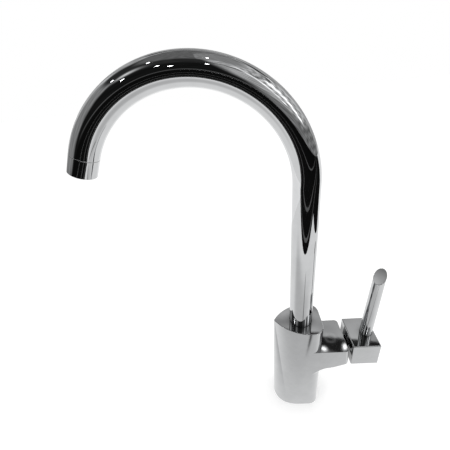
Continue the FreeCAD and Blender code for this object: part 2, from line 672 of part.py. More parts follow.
def make_cartridge():
    """Fixed pieces of the cartridge and the nut that holds it."""
    gasket, base, fixed, moving, carrier, turret = disc_stack()
    plate = valve_bar(SHELL_D / 2, gasket, GASKET_PLATE)
    keep("cartridge_gasket", plate.cut(port_holes(gasket, GASKET_PLATE)))
    foot = valve_bar(SHELL_D / 2, base, BASE_PLATE)
    keep("cartridge_base", foot.cut(port_holes(base, BASE_PLATE)))
    disc = valve_bar(DISC_D / 2, fixed, FIXED_DISC)
    keep("fixed_ceramic_disc", disc.cut(port_holes(fixed, FIXED_DISC)))
    shell = valve_bar(SHELL_D / 2, fixed, NUT_SEAT_X - fixed)
    room = NUT_SEAT_X - SHELL_END_WALL - fixed
    shell = shell.cut([
        valve_bar(SHELL_BORE / 2, fixed, room),
        valve_bar(NUT_BORE / 2, fixed, NUT_SEAT_X - fixed),
    ])
    keep("cartridge_shell", shell)
    nut = valve_bar(NUT_THREAD_D / 2 - SEAT_FIT, NUT_SEAT_X, NUT_WIDTH)
    nut = nut.cut(valve_bar(NUT_BORE / 2, NUT_SEAT_X, NUT_WIDTH))
    rims = [e for e in nut.Edges if e.BoundBox.XMin > NUT_SEAT_X + NUT_EDGE_R
            and e.BoundBox.XLength < NUT_EDGE_R]
    keep("cartridge_nut", nut.makeFillet(NUT_EDGE_R, rims))


def make_turret():
    """Turret that turns in the cartridge with the lever and holds the tilting pin."""
    start = disc_stack()[5]
    bar = valve_bar(SHELL_BORE / 2 - RUN_FIT, start, TURRET_END_X - start)
    half_y = STEM_D / 2 + FREE_GAP
    swing = math.radians(TILT)
    half_z = STEM_D / 2 / math.cos(swing) + (TURRET_END_X - PIVOT_X) * math.tan(swing) + SLOT_PLAY
    slot = box(V(start, -half_y, VALVE_Z - half_z), V(TURRET_END_X, half_y, VALVE_Z + half_z))
    pin_base = V(PIVOT_X, -PIVOT_PIN_LENGTH / 2, VALVE_Z)
    pin = cylinder(PIVOT_PIN_D / 2, PIVOT_PIN_LENGTH, pin_base, V(0, 1, 0))
    keep("cartridge_turret", bar.cut([slot, pin]))
    keep("lever_pivot_pin", pin)


def make_moving_disc():
    """Ceramic disc and its carrier, which the stem's ball pushes across the fixed disc."""
    moving, carrier = disc_stack()[3:5]
    disc = valve_bar(MOVING_DISC_D / 2, moving, MOVING_DISC)
    recess = valve_bar(DISC_RECESS_D / 2, moving, DISC_RECESS_DEPTH)
    keep("moving_ceramic_disc", disc.cut(recess))
    plate = valve_bar(MOVING_DISC_D / 2, carrier, CARRIER)
    pocket = valve_bar(STEM_BALL_D / 2 + BALL_FIT, carrier, CARRIER)
    keep("disc_carrier", plate.cut(pocket))


def make_stem():
    """Stem: ball end in the disc carrier, eye on the pivot pin, head in the handle block.

    It is fused lying on the line z = 0 and then lifted onto the valve's axis.
    """
    ball_x = disc_stack()[4] + CARRIER / 2
    along = V(1, 0, 0)
    across = V(0, 1, 0)
    eye_base = V(PIVOT_X, -STEM_D / 2, 0)
    shank = cylinder(STEM_D / 2, STEM_HEAD_X - PIVOT_X, V(PIVOT_X, 0, 0), along)
    stem = shank.fuse([
        cylinder(STEM_D / 2, STEM_D, eye_base, across),
        cylinder(STEM_HEAD_D / 2, STEM_END_X - STEM_HEAD_X, V(STEM_HEAD_X, 0, 0), along),
        cylinder(STEM_NECK_D / 2, PIVOT_X - ball_x, V(ball_x, 0, 0), along),
        Part.makeSphere(STEM_BALL_D / 2, V(ball_x, 0, 0)),
    ])
    stem = stem.cut(cylinder(PIVOT_PIN_D / 2 + RUN_FIT, STEM_D, eye_base, across))
    stem.translate(V(0, 0, VALVE_Z))
    keep("cartridge_stem", stem)


# ---- handle --------------------------------------------------------------------------------
def hub_left():
    """Side of the block that faces the arm."""
    return HUB_X - HUB_LENGTH / 2


def hub_top():
    """Top of the block."""
    return HUB_Z + HUB_HEIGHT / 2


def make_hub():
    """Handle block with its pocket, stem socket, rod hole and screw hole."""
    half = V(HUB_LENGTH / 2, HUB_DEPTH / 2, HUB_HEIGHT / 2)
    centre = V(HUB_X, 0, HUB_Z)
    block = box(centre - half, centre + half)
    block = block.makeFillet(HUB_EDGE_R, block.Edges)
    left = hub_left()
    bottom = HUB_Z - HUB_HEIGHT / 2
    rod_hole = ROD_SPIGOT_LENGTH + END_PLAY
    cuts = [
        valve_bar(HUB_POCKET_D / 2, left, HUB_POCKET_DEPTH),
        valve_bar(STEM_HEAD_D / 2 + SEAT_FIT, left, STEM_END_X + END_PLAY - left),
        cylinder(ROD_SPIGOT_D / 2 + SEAT_FIT, rod_hole, V(ROD_X, 0, hub_top()), V(0, 0, -1)),
        cylinder(GRUB_SCREW_D / 2 + SEAT_FIT, VALVE_Z - bottom, V(HANDLE_SCREW_X, 0, bottom),
                 V(0, 0, 1)),
    ]
    keep("handle_block", block.cut(cuts))
    tip = VALVE_Z - STEM_HEAD_D / 2 - SEAT_FIT
    screw = cylinder(GRUB_SCREW_D / 2, HANDLE_SCREW_LENGTH, V(HANDLE_SCREW_X, 0, tip), V(0, 0, -1))
    socket = hexagon_socket(V(HANDLE_SCREW_X, 0, tip - HANDLE_SCREW_LENGTH), V(0, 0, 1))
    keep("handle_screw", screw.cut(socket))


def make_rod():
    """Tapering lever rod with a slanted end face and a threaded spigot."""
    lean = math.radians(ROD_LEAN)
    axis = V(math.sin(lean), 0, math.cos(lean))
    foot = V(ROD_X, 0, hub_top())
    past_taper = PAST * (ROD_BASE_D - ROD_TIP_D) / 2 / ROD_LENGTH
    rod = Part.makeCone(ROD_BASE_D / 2 + past_taper, ROD_TIP_D / 2 - past_taper,
                        ROD_LENGTH + 2 * PAST, foot - axis * PAST, axis)
    reach = V(ROD_BASE_D, ROD_BASE_D, 0)
    rod = rod.cut(box(foot - reach - V(0, 0, 2 * PAST), foot + reach))
    face_centre = V(ROD_X + ROD_CUT_HEIGHT * math.tan(lean), 0, hub_top() + ROD_CUT_HEIGHT)
    turn = math.radians(ROD_CUT_TURN)
    tilt = math.radians(ROD_CUT_ANGLE)
    normal = V(-math.sin(tilt) * math.sin(turn), -math.sin(tilt) * math.cos(turn), math.cos(tilt))
    side = ROD_LENGTH
    above = Part.makeBox(side, side, side, V(-side / 2, -side / 2, 0))
    above.Placement = FreeCAD.Placement(face_centre, FreeCAD.Rotation(V(0, 0, 1), normal))
    rod = rod.cut(above)
    spigot = cylinder(ROD_SPIGOT_D / 2, ROD_SPIGOT_LENGTH, foot, V(0, 0, -1))
    keep("lever_rod", rod.fuse(spigot).removeSplitter())


def main():
    """Build every piece and write one STEP file per piece."""
    make_body()
    make_spout_tube()
    make_foot()
    make_slip_ring()
    make_lock_screw()
    make_filter_line()
    make_outlet()
    make_aerator()
    make_cartridge()
    make_turret()
    make_moving_disc()
    make_stem()
    make_hub()
    make_rod()
    os.makedirs("parts", exist_ok=True)
    for name, shape in PIECES.items():
        shape.exportStep("parts/" + name + ".step")
        print(name, "solids", len(shape.Solids), "valid", shape.isValid(),
              "volume", round(shape.Volume, 1))


main()
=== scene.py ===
import math

import bpy
import numpy as np
from bpy.props import (FloatProperty, FloatVectorProperty, IntProperty, PointerProperty,
                       StringProperty)
from mathutils import Matrix


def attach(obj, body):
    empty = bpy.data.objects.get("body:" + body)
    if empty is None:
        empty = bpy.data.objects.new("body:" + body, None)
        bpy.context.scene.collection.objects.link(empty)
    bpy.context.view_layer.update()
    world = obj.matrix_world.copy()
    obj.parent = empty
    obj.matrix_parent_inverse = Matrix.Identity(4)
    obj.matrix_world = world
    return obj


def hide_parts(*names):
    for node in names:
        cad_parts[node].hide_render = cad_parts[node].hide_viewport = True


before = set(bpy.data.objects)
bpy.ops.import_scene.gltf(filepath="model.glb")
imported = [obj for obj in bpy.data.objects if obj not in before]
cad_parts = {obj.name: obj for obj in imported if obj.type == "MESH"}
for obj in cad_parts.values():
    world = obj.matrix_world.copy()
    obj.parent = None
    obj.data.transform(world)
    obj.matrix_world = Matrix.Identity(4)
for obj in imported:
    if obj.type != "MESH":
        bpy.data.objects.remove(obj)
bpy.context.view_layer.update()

bl_info = {
    "name": "Three Way Filtered Water Tap",
    "version": (1, 0, 0),
    "blender": (4, 5, 0),
    "location": "3D View > Sidebar > Tap",
    "description": "Builds the polished surfaces of a gooseneck sink tap with a side lever",
    "category": "Add Mesh",
}

MM = 0.001


# ---- sizes and colours a user would change ---------------------------------------------------
def length(name, description, default_mm):
    """A length property, given in millimetres and kept in metres."""
    return FloatProperty(name=name, description=description, default=default_mm * MM,
                         unit="LENGTH", subtype="DISTANCE", precision=5)


def angle(name, description, default_deg):
    """An angle property, given in degrees and kept in radians."""
    return FloatProperty(name=name, description=description, default=math.radians(default_deg),
                         unit="ROTATION", subtype="ANGLE")


def finish_colour(name, description, default_hex):
    """A colour property written as sRGB hex."""
    return StringProperty(name=name, description=description, default=default_hex)


class TapSpoutSizes(bpy.types.PropertyGroup):
    """Sizes of the bent spout tube and its outlet nozzle."""

    tube_diameter: length("Tube diameter", "Outer diameter of the bent tube", 25.0)
    tube_wall: length("Tube wall", "Wall of the bent tube", 1.5)
    foot_height: length("Foot height", "Lower end of the tube above the worktop", 135.4)
    straight: length("Straight run", "Upright run below the arch", 165.9)
    bend_radius: length("Bend radius", "Centreline radius of the arch", 98.5)
    bend_angle: angle("Bend angle", "Sweep of the arch", 154.3)
    seam: length("Seam", "Fine gap between the tube and the nozzle", 0.15)
    nozzle_length: length("Nozzle length", "Length of the straight nozzle", 15.85)
    thread_diameter: length("Nozzle thread", "Bore of the nozzle's thread", 20.9)
    thread_length: length("Thread length", "Depth of the nozzle's thread", 6.15)
    aerator_bore: length("Aerator bore", "Bore that holds the aerator", 22.0)
    edge: length("Edge rounding", "Polished rounding of the tube's edges", 0.25)
    columns: IntProperty(name="Columns", description="Faces round the tube", default=144, min=24)


class TapLeverSizes(bpy.types.PropertyGroup):
    """Sizes of the lever rod."""

    rod_x: length("Rod place", "Rod's axis at the block's top, from the spout's axis", 77.1)
    rod_foot: length("Rod foot", "Block's top above the worktop", 108.1)
    rod_lean: angle("Rod lean", "Lean of the rod away from the spout", 2.1)
    base_diameter: length("Rod base", "Rod's diameter at the block", 13.7)
    tip_diameter: length("Rod tip", "Rod's diameter at the end of its taper", 12.1)
    taper_length: length("Taper length", "Length over which the rod tapers", 90.0)
    cut_height: length("Cut height", "Centre of the slanted face above the block", 83.8)
    cut_angle: angle("Cut angle", "Slant of the end face", 47.0)
    cut_turn: angle("Cut turn", "Slanted face turned from the user's side to the spout", 39.0)
    spigot_diameter: length("Spigot diameter", "Spigot that stands in the block", 6.0)
    spigot_length: length("Spigot length", "Depth of the spigot in the block", 8.0)
    edge: length("Edge rounding", "Polished rounding of the slanted face's rim", 0.3)


class TapFinishes(bpy.types.PropertyGroup):
    """Colours of the tap's metals, plastics, rubber and ceramic."""

    chrome: finish_colour("Chrome", "Polished chrome plating", "CBCCCD")
    brass: finish_colour("Brass", "Machined brass", "C2A062")
    steel: finish_colour("Stainless steel", "Turned stainless steel", "B4B5B6")
    rubber: finish_colour("Rubber", "Moulded sealing rubber", "1C1C1D")
    dark_plastic: finish_colour("Dark plastic", "Moulded acetal", "26272A")
    grey_plastic: finish_colour("Grey plastic", "Moulded aerator and cartridge shell", "9A9C9E")
    white_plastic: finish_colour("White plastic", "Extruded inner tube", "E3E2DC")
    ceramic: finish_colour("Ceramic", "Lapped alumina", "EFECE4")


class TapStageSettings(bpy.types.PropertyGroup):
    """Camera, lamps and surroundings."""

    camera_place: FloatVectorProperty(name="Camera place", description="Camera position",
                                      default=(-0.056215, -0.231496, 0.39709),
                                      subtype="TRANSLATION", unit="LENGTH")
    camera_yaw: FloatProperty(name="Camera yaw", description="Turn of the view, rightwards",
                              default=-0.082, subtype="ANGLE")
    camera_pitch: FloatProperty(name="Camera pitch", description="Downward tilt of the view",
                                default=0.510, subtype="ANGLE")
    camera_roll: FloatProperty(name="Camera roll", description="Roll of the view",
                               default=-0.114, subtype="ANGLE")
    lens: FloatProperty(name="Lens", description="Focal length on a 36 mm sensor", default=22.347)
    ambient: FloatProperty(name="Ambient", description="Plain light from all round", default=0.84)


# ---- meshes ----------------------------------------------------------------------------------
def unit(vectors):
    """Each vector divided by its own length."""
    return vectors / np.linalg.norm(vectors, axis=-1, keepdims=True)


def skin(rings, roundings, steps=7):
    """Grid of points over a stack of rings, with every inner ring rounded off.

    rings is (k, columns, 3). Between two rings a column runs straight. At ring i it leaves the
    straight line at distance e = roundings[i - 1] before the corner P and joins the next one at e
    past it, along the quadratic curve (1 - t)^2 A + 2 t (1 - t) P + t^2 B, with A = P - e a and
    B = P + e b for the unit directions a and b before and after the corner. One more row stands
    e / 2 outside each end of the curve, so that flat faces keep their own shade.
    """
    rings = np.asarray(rings, float)
    rows = [rings[0]]
    blend = np.linspace(0, 1, steps)[:, None, None]
    for before, corner, after, e in zip(rings[:-2], rings[1:-1], rings[2:], roundings):
        if e == 0:
            rows.append(corner)
            continue
        a = unit(corner - before)
        b = unit(after - corner)
        start = corner - e * a
        end = corner + e * b
        curve = (1 - blend) ** 2 * start + 2 * blend * (1 - blend) * corner + blend ** 2 * end
        rows.append(start - e / 2 * a)
        rows.extend(curve)
        rows.append(end + e / 2 * b)
    rows.append(rings[-1])
    return np.array(rows)


def mesh_object(name, grid, ring_of_rows=False, open_start=False):
    """Smooth mesh over a grid of points (rows, columns, 3).

    Columns join round. Rows join round too where ring_of_rows is set; otherwise the last row
    closes with one flat face, and so does the first unless open_start is set. Point (r, c) has
    number r * columns + c, and a face joins (r, c), (r, c + 1), (r + 1, c + 1) and (r + 1, c).
    """
    rows, columns, _ = grid.shape
    c = np.arange(columns)
    after = (c + 1) % columns
    r = np.arange(rows if ring_of_rows else rows - 1)[:, None]
    up = (r + 1) % rows
    faces = np.stack([r * columns + c, r * columns + after,
                      up * columns + after, up * columns + c], -1).reshape(-1, 4).tolist()
    if not ring_of_rows:
        if not open_start:
            faces.append(c[::-1].tolist())
        faces.append((c + (rows - 1) * columns).tolist())
    mesh = bpy.data.meshes.new(name)
    mesh.from_pydata(grid.reshape(-1, 3).tolist(), [], faces)
    mesh.validate()
    mesh.shade_smooth()
    made = bpy.data.objects.new(name, mesh)
    bpy.context.scene.collection.objects.link(made)
    return made


def spout_path(sizes, s):
    """Centre and outward direction of the spout at distances s from the tube's foot.

    Up to the straight run's end the centre is (0, 0, foot + s). On the arch it is
    (R (cos a - 1), 0, bend + R sin a) with a = (s - straight) / R, and past the bend angle it runs
    on along the arch's last direction. The outward direction is (cos a, 0, sin a) all along.
    """
    bend_z = sizes.foot_height + sizes.straight
    turn = np.clip((s - sizes.straight) / sizes.bend_radius, 0, sizes.bend_angle)
    past = s - sizes.straight - sizes.bend_radius * turn
    along = np.where(s < sizes.straight, s - sizes.straight, past)
    x = sizes.bend_radius * (np.cos(turn) - 1) - along * np.sin(turn)
    z = bend_z + sizes.bend_radius * np.sin(turn) + along * np.cos(turn)
    flat = np.zeros_like(turn)
    return np.stack([x, flat, z], -1), np.stack([np.cos(turn), flat, np.sin(turn)], -1)


def carried_ring(sizes, profile):
    """Surface of a closed profile of (distance, radius) carried round the spout's centreline.

    Point = centre(s) + r (cos v outward(s) + sin v Y), with v from 0 to a full turn.
    """
    s, r = np.asarray(profile, float).T
    centre, outward = spout_path(sizes, s)
    v = np.linspace(0, 2 * math.pi, sizes.columns, endpoint=False)
    across = np.array([0.0, 1.0, 0.0])
    spoke = np.cos(v)[None, :, None] * outward[:, None, :] + np.sin(v)[None, :, None] * across
    return centre[:, None, :] + r[:, None, None] * spoke


def rounded_profile(corners, e):
    """Closed profile of (distance, radius) with each corner rounded off over the distance e.

    The corners are taken as a stack of rings of one column each, closed on itself, and skin()
    rounds every one of them.
    """
    corners = np.asarray(corners, float)
    loop = np.concatenate([corners[-1:], corners, corners[:1]])[:, None, :]
    return skin(loop, [e] * len(corners))[1:-1, 0, :]


def filled_profile(profile, step):
    """Profile with extra points on its long runs, no further apart than step.

    A run of length d becomes ceil(d / step) equal parts.
    """
    ends = np.roll(profile, -1, axis=0)
    counts = np.maximum(1, np.ceil(np.linalg.norm(ends - profile, axis=1) / step)).astype(int)
    starts = np.repeat(profile, counts, axis=0)
    reach = np.repeat(ends - profile, counts, axis=0)
    first = np.repeat(np.cumsum(counts) - counts, counts)
    share = (np.arange(counts.sum()) - first) / np.repeat(counts, counts)
    return starts + share[:, None] * reach


LONGEST_FACE = 2.4 * MM


def build_spout_tube(sizes):
    """Bent tube: outer wall, outlet end, inner wall and foot end, one closed profile.

    The tube's length is the straight run and then R times the bend angle.
    """
    total = sizes.straight + sizes.bend_radius * sizes.bend_angle
    outer = sizes.tube_diameter / 2
    bore = outer - sizes.tube_wall
    corners = [(0, outer), (total, outer), (total, bore), (0, bore)]
    profile = filled_profile(rounded_profile(corners, sizes.edge), LONGEST_FACE)
    return mesh_object("spout_tube_polished", carried_ring(sizes, profile), ring_of_rows=True)


def build_nozzle(sizes):
    """Flush nozzle: outer wall, rim, aerator bore, shoulder and thread bore.

    Its profile starts a seam's width past the tube's end. Its edges are rounded over 0.8 of the
    tube's rounding.
    """
    start = sizes.straight + sizes.bend_radius * sizes.bend_angle + sizes.seam
    end = start + sizes.nozzle_length
    shoulder = start + sizes.thread_length
    outer = sizes.tube_diameter / 2
    corners = [(start, outer), (end, outer), (end, sizes.aerator_bore / 2),
               (shoulder, sizes.aerator_bore / 2), (shoulder, sizes.thread_diameter / 2),
               (start, sizes.thread_diameter / 2)]
    profile = filled_profile(rounded_profile(corners, 0.8 * sizes.edge), LONGEST_FACE)
    return mesh_object("outlet_nozzle_polished", carried_ring(sizes, profile), ring_of_rows=True)


def build_rod(sizes, columns=128):
    """Tapering rod with a slanted end face.

    A wall line starts on the foot circle and runs along the cone r(t) = r0 - t (r0 - r1) / L. It
    ends where it meets the slanted plane (P - face centre) . n = 0, and the face closes inwards
    to its centre. The spigot below the foot is a plain round bar.
    """
    lean = sizes.rod_lean
    axis = np.array([math.sin(lean), 0, math.cos(lean)])
    side = np.array([math.cos(lean), 0, -math.sin(lean)])
    across = np.array([0.0, 1.0, 0.0])
    foot = np.array([sizes.rod_x, 0, sizes.rod_foot])
    v = np.linspace(0, 2 * math.pi, columns, endpoint=False)[:, None]
    spoke = np.cos(v) * side + np.sin(v) * across
    slope = (sizes.base_diameter - sizes.tip_diameter) / 2 / sizes.taper_length
    radius = sizes.base_diameter / 2
    face = np.array([sizes.rod_x + sizes.cut_height * math.tan(lean), 0,
                     sizes.rod_foot + sizes.cut_height])
    tilt, turn = sizes.cut_angle, sizes.cut_turn
    normal = np.array([-math.sin(tilt) * math.sin(turn), -math.sin(tilt) * math.cos(turn),
                       math.cos(tilt)])

    def on_plane(point, n):
        """Wall points where the plane through point across n cuts the cone's lines."""
        line = axis - slope * spoke
        start = foot + radius * spoke
        t = ((point - start) @ n)[:, None] / (line @ n)[:, None]
        return start + t * line

    base = on_plane(foot, np.array([0.0, 0, 1]))
    rim = on_plane(face, normal)
    spigot = foot + sizes.spigot_diameter / 2 * (np.cos(v) * [1, 0, 0] + np.sin(v) * across)
    down = np.array([0, 0, sizes.spigot_length])
    bottom_centre = foot - down + 0.1 * (spigot - foot)
    end_centre = rim.mean(axis=0)
    face_centre = end_centre + 0.05 * (rim - end_centre)
    rings = [bottom_centre, spigot - down, spigot, base, rim, face_centre]
    spigot_end, spigot_root, base_edge = 0.2 * MM, 0.1 * MM, 0.12 * MM
    return mesh_object("lever_rod_polished",
                       skin(rings, [spigot_end, spigot_root, base_edge, sizes.edge]))


# ---- materials -------------------------------------------------------------------------------
def linear(hex_colour, share=1.0):
    """Linear RGBA of an sRGB hex colour, with its brightness times share."""
    value = np.array([int(hex_colour[i:i + 2], 16) for i in (0, 2, 4)]) / 255
    curve = np.where(value <= 0.04045, value / 12.92, ((value + 0.055) / 1.055) ** 2.4)
    return (*(share * curve).tolist(), 1.0)


def feed(tree, node, inputs):
    """Set a node's inputs: a socket is linked, and anything else is a value."""
    for name, value in inputs.items():
        if isinstance(value, bpy.types.NodeSocket):
            tree.links.new(value, node.inputs[name])
        else:
            node.inputs[name].default_value = value


def add(tree, kind, gives, inputs, **settings):
    """Add a node with its settings and inputs, and return its output named gives, or itself."""
    made = tree.nodes.new("ShaderNode" + kind)
    for name, value in settings.items():
        setattr(made, name, value)
    feed(tree, made, inputs)
    return made.outputs[gives] if gives else made


def new_material(name):
    """Empty node material with its principled shader."""
    material = bpy.data.materials.new(name)
    material.use_nodes = True
    tree = material.node_tree
    tree.nodes.clear()
    shader = add(tree, "BsdfPrincipled", None, {})
    add(tree, "OutputMaterial", None, {"Surface": shader.outputs["BSDF"]})
    return material, tree, shader


def polished_chrome(hex_colour):
    """Chrome plating over buffed brass.

    The eye sees a mirror with faint buffing ripples some 5 mm long, wiping scratches 0.3 mm
    across, and dried water film that dulls it in soft patches about 14 mm across. The colour
    also has painted shade: where another surface stands within 14 mm it is drawn darker, down
    to a tenth, so that narrow gaps look black; this painted shade fades out from 25 to 15 mm
    above the worktop.
    """
    material, tree, shader = new_material("chrome_plated_brass_polished")
    place = add(tree, "TexCoord", "Object", {})
    film = add(tree, "TexNoise", "Fac", {"Vector": place, "Scale": 1 / (14 * MM), "Detail": 4.0,
                                         "Roughness": 0.6})
    filmed = add(tree, "MapRange", "Result", {"Value": film, "From Min": 0.35, "From Max": 0.75})
    plate = add(tree, "Mix", "Result", {"Factor": filmed, "A": linear(hex_colour),
                                        "B": linear(hex_colour, 0.93)}, data_type="RGBA")
    # Painted shade: ambient occlusion darkens the plating's colour in narrow gaps, down to a
    # tenth.
    unshaded = add(tree, "AmbientOcclusion", "AO", {"Distance": 14 * MM}, samples=8)
    open_place = add(tree, "MapRange", "Result", {"Value": unshaded, "From Min": 0.22,
                                                  "From Max": 0.8})
    height = add(tree, "SeparateXYZ", "Z", {"Vector": place})
    at_foot = add(tree, "MapRange", "Result", {"Value": height, "From Min": 15 * MM,
                                               "From Max": 25 * MM, "To Min": 1, "To Max": 0})
    bright = add(tree, "Math", "Value", {0: open_place, 1: at_foot}, operation="MAXIMUM")
    # Painted shade mixed into the plating's colour, except near the worktop.
    plate = add(tree, "Mix", "Result", {"Factor": bright, "A": linear(hex_colour, 0.10),
                                        "B": plate}, data_type="RGBA")
    wiped = add(tree, "Mapping", "Vector", {"Vector": place, "Rotation": (0.5, 0.3, 0.9),
                                            "Scale": (1.0, 1.0, 0.06)})
    scratch = add(tree, "TexNoise", "Fac", {"Vector": wiped, "Scale": 1 / (0.3 * MM),
                                            "Detail": 3.0})
    dulled = add(tree, "MapRange", "Result", {"Value": film, "From Min": 0.4, "From Max": 0.8,
                                              "To Min": 0.014, "To Max": 0.05})
    lines = add(tree, "MapRange", "Result", {"Value": scratch, "From Min": 0.62,
                                             "From Max": 0.72, "To Min": 0.0, "To Max": 0.03})
    rough = add(tree, "Math", "Value", {0: dulled, 1: lines}, operation="ADD")
    edge = add(tree, "Bevel", "Normal", {"Radius": 0.35 * MM}, samples=6)
    waves = add(tree, "TexNoise", "Fac", {"Vector": place, "Scale": 1 / (5 * MM), "Detail": 1.0})
    ripple = add(tree, "Bump", "Normal", {"Height": waves, "Distance": 0.006 * MM,
                                          "Strength": 0.8, "Normal": edge})
    fine = add(tree, "Bump", "Normal", {"Height": scratch, "Distance": 0.0008 * MM,
                                        "Strength": 0.5, "Normal": ripple})
    feed(tree, shader, {"Metallic": 1.0, "Base Color": plate, "Roughness": rough, "Normal": fine})
    return material


def turned_metal(name, hex_colour, roughness, tarnish):
    """Metal left as it was machined.

    The eye sees tool lines 1 mm apart, drawn coarser than the real feed so that they show, and a
    faint uneven darkening, down to tarnish, where it has been handled. A wave texture's lines
    stand 2 pi / 20 / Scale apart.
    """
    material, tree, shader = new_material(name)
    place = add(tree, "TexCoord", "Object", {})
    patches = add(tree, "TexNoise", "Fac", {"Vector": place, "Scale": 1 / (6 * MM),
                                            "Detail": 3.0})
    handled = add(tree, "MapRange", "Result", {"Value": patches, "From Min": 0.35,
                                               "From Max": 0.7})
    colour = add(tree, "Mix", "Result", {"Factor": handled, "A": linear(hex_colour),
                                         "B": linear(hex_colour, tarnish)}, data_type="RGBA")
    dulled = add(tree, "MapRange", "Result", {"Value": patches, "From Min": 0.3, "From Max": 0.7,
                                              "To Min": roughness, "To Max": roughness + 0.12})
    lines = add(tree, "TexWave", "Fac", {"Vector": place,
                                         "Scale": 2 * math.pi / 20 / (0.987 * MM),
                                         "Distortion": 0.4, "Detail": 2.0}, bands_direction="Z")
    bump = add(tree, "Bump", "Normal", {"Height": lines, "Distance": 0.004 * MM, "Strength": 0.6})
    feed(tree, shader, {"Metallic": 1.0, "Base Color": colour, "Roughness": dulled,
                        "Normal": bump})
    return material


def moulded(name, hex_colour, roughness, grain, depth, ior):
    """Rubber, plastic or ceramic that comes out of a mould.

    The eye sees the fine grain that the mould leaves, grain metres across and depth metres deep,
    with slightly shinier and duller patches about 5 mm across where the material flowed.
    """
    material, tree, shader = new_material(name)
    place = add(tree, "TexCoord", "Object", {})
    flow = add(tree, "TexNoise", "Fac", {"Vector": place, "Scale": 1 / (5 * MM), "Detail": 2.0})
    flowed = add(tree, "MapRange", "Result", {"Value": flow, "From Min": 0.35, "From Max": 0.7})
    colour = add(tree, "Mix", "Result", {"Factor": flowed, "A": linear(hex_colour),
                                         "B": linear(hex_colour, 0.86)}, data_type="RGBA")
    dulled = add(tree, "MapRange", "Result", {"Value": flow, "From Min": 0.3, "From Max": 0.7,
                                              "To Min": roughness, "To Max": roughness + 0.1})
    grains = add(tree, "TexNoise", "Fac", {"Vector": place, "Scale": 1 / grain, "Detail": 3.0})
    bump = add(tree, "Bump", "Normal", {"Height": grains, "Distance": depth, "Strength": 0.7})
    feed(tree, shader, {"IOR": ior, "Base Color": colour, "Roughness": dulled, "Normal": bump})
    return material


NODE_FINISH = {
    "body_casting": "chrome", "handle_block": "chrome", "base_gasket": "rubber",
    "spout_foot": "brass", "spout_sealing_rings": "rubber", "spout_slip_ring": "dark_plastic",
    "spout_lock_screw": "steel", "filtered_water_tube": "white_plastic",
    "filtered_water_seal": "rubber", "outlet_bush": "brass", "aerator_cup": "grey_plastic",
    "aerator_washer": "rubber", "filtered_water_core": "white_plastic",
    "aerator_screen": "grey_plastic", "cartridge_gasket": "rubber",
    "cartridge_base": "dark_plastic", "fixed_ceramic_disc": "ceramic",
    "cartridge_shell": "grey_plastic", "cartridge_nut": "steel",
    "cartridge_turret": "dark_plastic", "lever_pivot_pin": "steel",
    "moving_ceramic_disc": "ceramic", "disc_carrier": "dark_plastic",
    "cartridge_stem": "steel", "handle_screw": "steel",
}


def tap_materials(colours):
    """Every finish of the tap by its short name, made once."""
    return {
        "chrome": polished_chrome(colours.chrome),
        "brass": turned_metal("brass_machined", colours.brass, 0.24, 0.8),
        "steel": turned_metal("stainless_steel_turned", colours.steel, 0.2, 0.88),
        "rubber": moulded("nitrile_rubber_moulded", colours.rubber, 0.55, 0.3 * MM, 0.02 * MM,
                          1.52),
        "dark_plastic": moulded("acetal_moulded", colours.dark_plastic, 0.38, 0.35 * MM,
                                0.012 * MM, 1.48),
        "grey_plastic": moulded("abs_moulded", colours.grey_plastic, 0.32, 0.4 * MM, 0.01 * MM,
                                1.54),
        "white_plastic": moulded("polyethylene_extruded", colours.white_plastic, 0.4, 0.6 * MM,
                                 0.01 * MM, 1.51),
        "ceramic": moulded("alumina_lapped", colours.ceramic, 0.12, 0.25 * MM, 0.002 * MM, 1.76),
    }


# ---- stage -----------------------------------------------------------------------------------
WHITE = linear("FFFFFF")
BLACK = linear("000000")

# Small ceiling lamps; each shows as one bright point on the arch or on the arm's top.
DOWNLIGHTS = (
    (-0.836, -0.248, 1.096), (-0.69, -0.767, 0.906), (-0.505, -0.38, 1.279),
    (-0.414, -0.885, 0.98), (-0.321, -1.056, 0.786), (0.076, -0.349, 1.398),
    (-0.012, -0.934, 1.031),
)
DOWNLIGHT_SIZE = 0.04
DOWNLIGHT_RADIANCE = 12.0

# Lamps that light the floor and give the tap its shadow: name, place, size and radiance.
SOFTBOXES = (
    ("key_softbox", (0.75, 0.1, 1.05), 0.34, 9.0),
    ("fill_softbox", (-0.8, -0.5, 1.0), 0.6, 2.0),
)
LAMP_TARGET = (-0.05, 0.0, 0.22)

FLOOR_REACH = 4.2
FLOOR_LIFT = 0.37          # glow of the floor for the eye, which brings it up to white
DOME_RADIUS = 4.0

# The white sheet round the tap, the dark floor of the room beyond it, and the pale tapes across
# that floor, which show as fine lines in the arch.
SHEET_RADIUS = 0.6
SHEET_CENTRE_Y = -0.14
SHEET_HEIGHT = 0.3 * MM
ROOM_REACH = 3.9
ROOM_HEIGHT = 0.6 * MM
ROOM_FRONT = -0.34         # where the dark floor starts in front
ROOM_RIGHT = 0.43          # and on the right
TAPE_HEIGHT = 1.2 * MM
TAPE_PLACES = (-0.40, -0.57, -0.95)

# Back wall and left wall: glow, azimuth from, to and softness, elevation from, to and softness.
# All the studio's angles are in degrees, azimuth from the back wall and elevation from the floor.
STUDIO_GREYS = (
    (0.46, (-62, 66, 22), (-20, 60, 6)),
    (0.30, (-121, -50, 12), (2, 43, 7)),
)
# Bright spot on the left, and lamps before the beam on the back wall: glow, azimuth and its half
# width, elevation and its half width.
STUDIO_SPOTS = ((0.95, (-131, 9), (46, 5)),)
STUDIO_LAMPS = (
    (3.0, (21.2, 0.8), (53.1, 0.3)),
    (3.0, (27.1, 0.5), (51.7, 0.5)),
)


def seen_directly(tree):
    """1 for what the camera, a reflection or a look through glass shows, and 0 otherwise."""
    path = add(tree, "LightPath", None, {}).outputs
    seen = path["Is Camera Ray"]
    for ray in ("Is Glossy Ray", "Is Transmission Ray"):
        seen = add(tree, "Math", "Value", {0: seen, 1: path[ray]}, operation="MAXIMUM")
    return seen


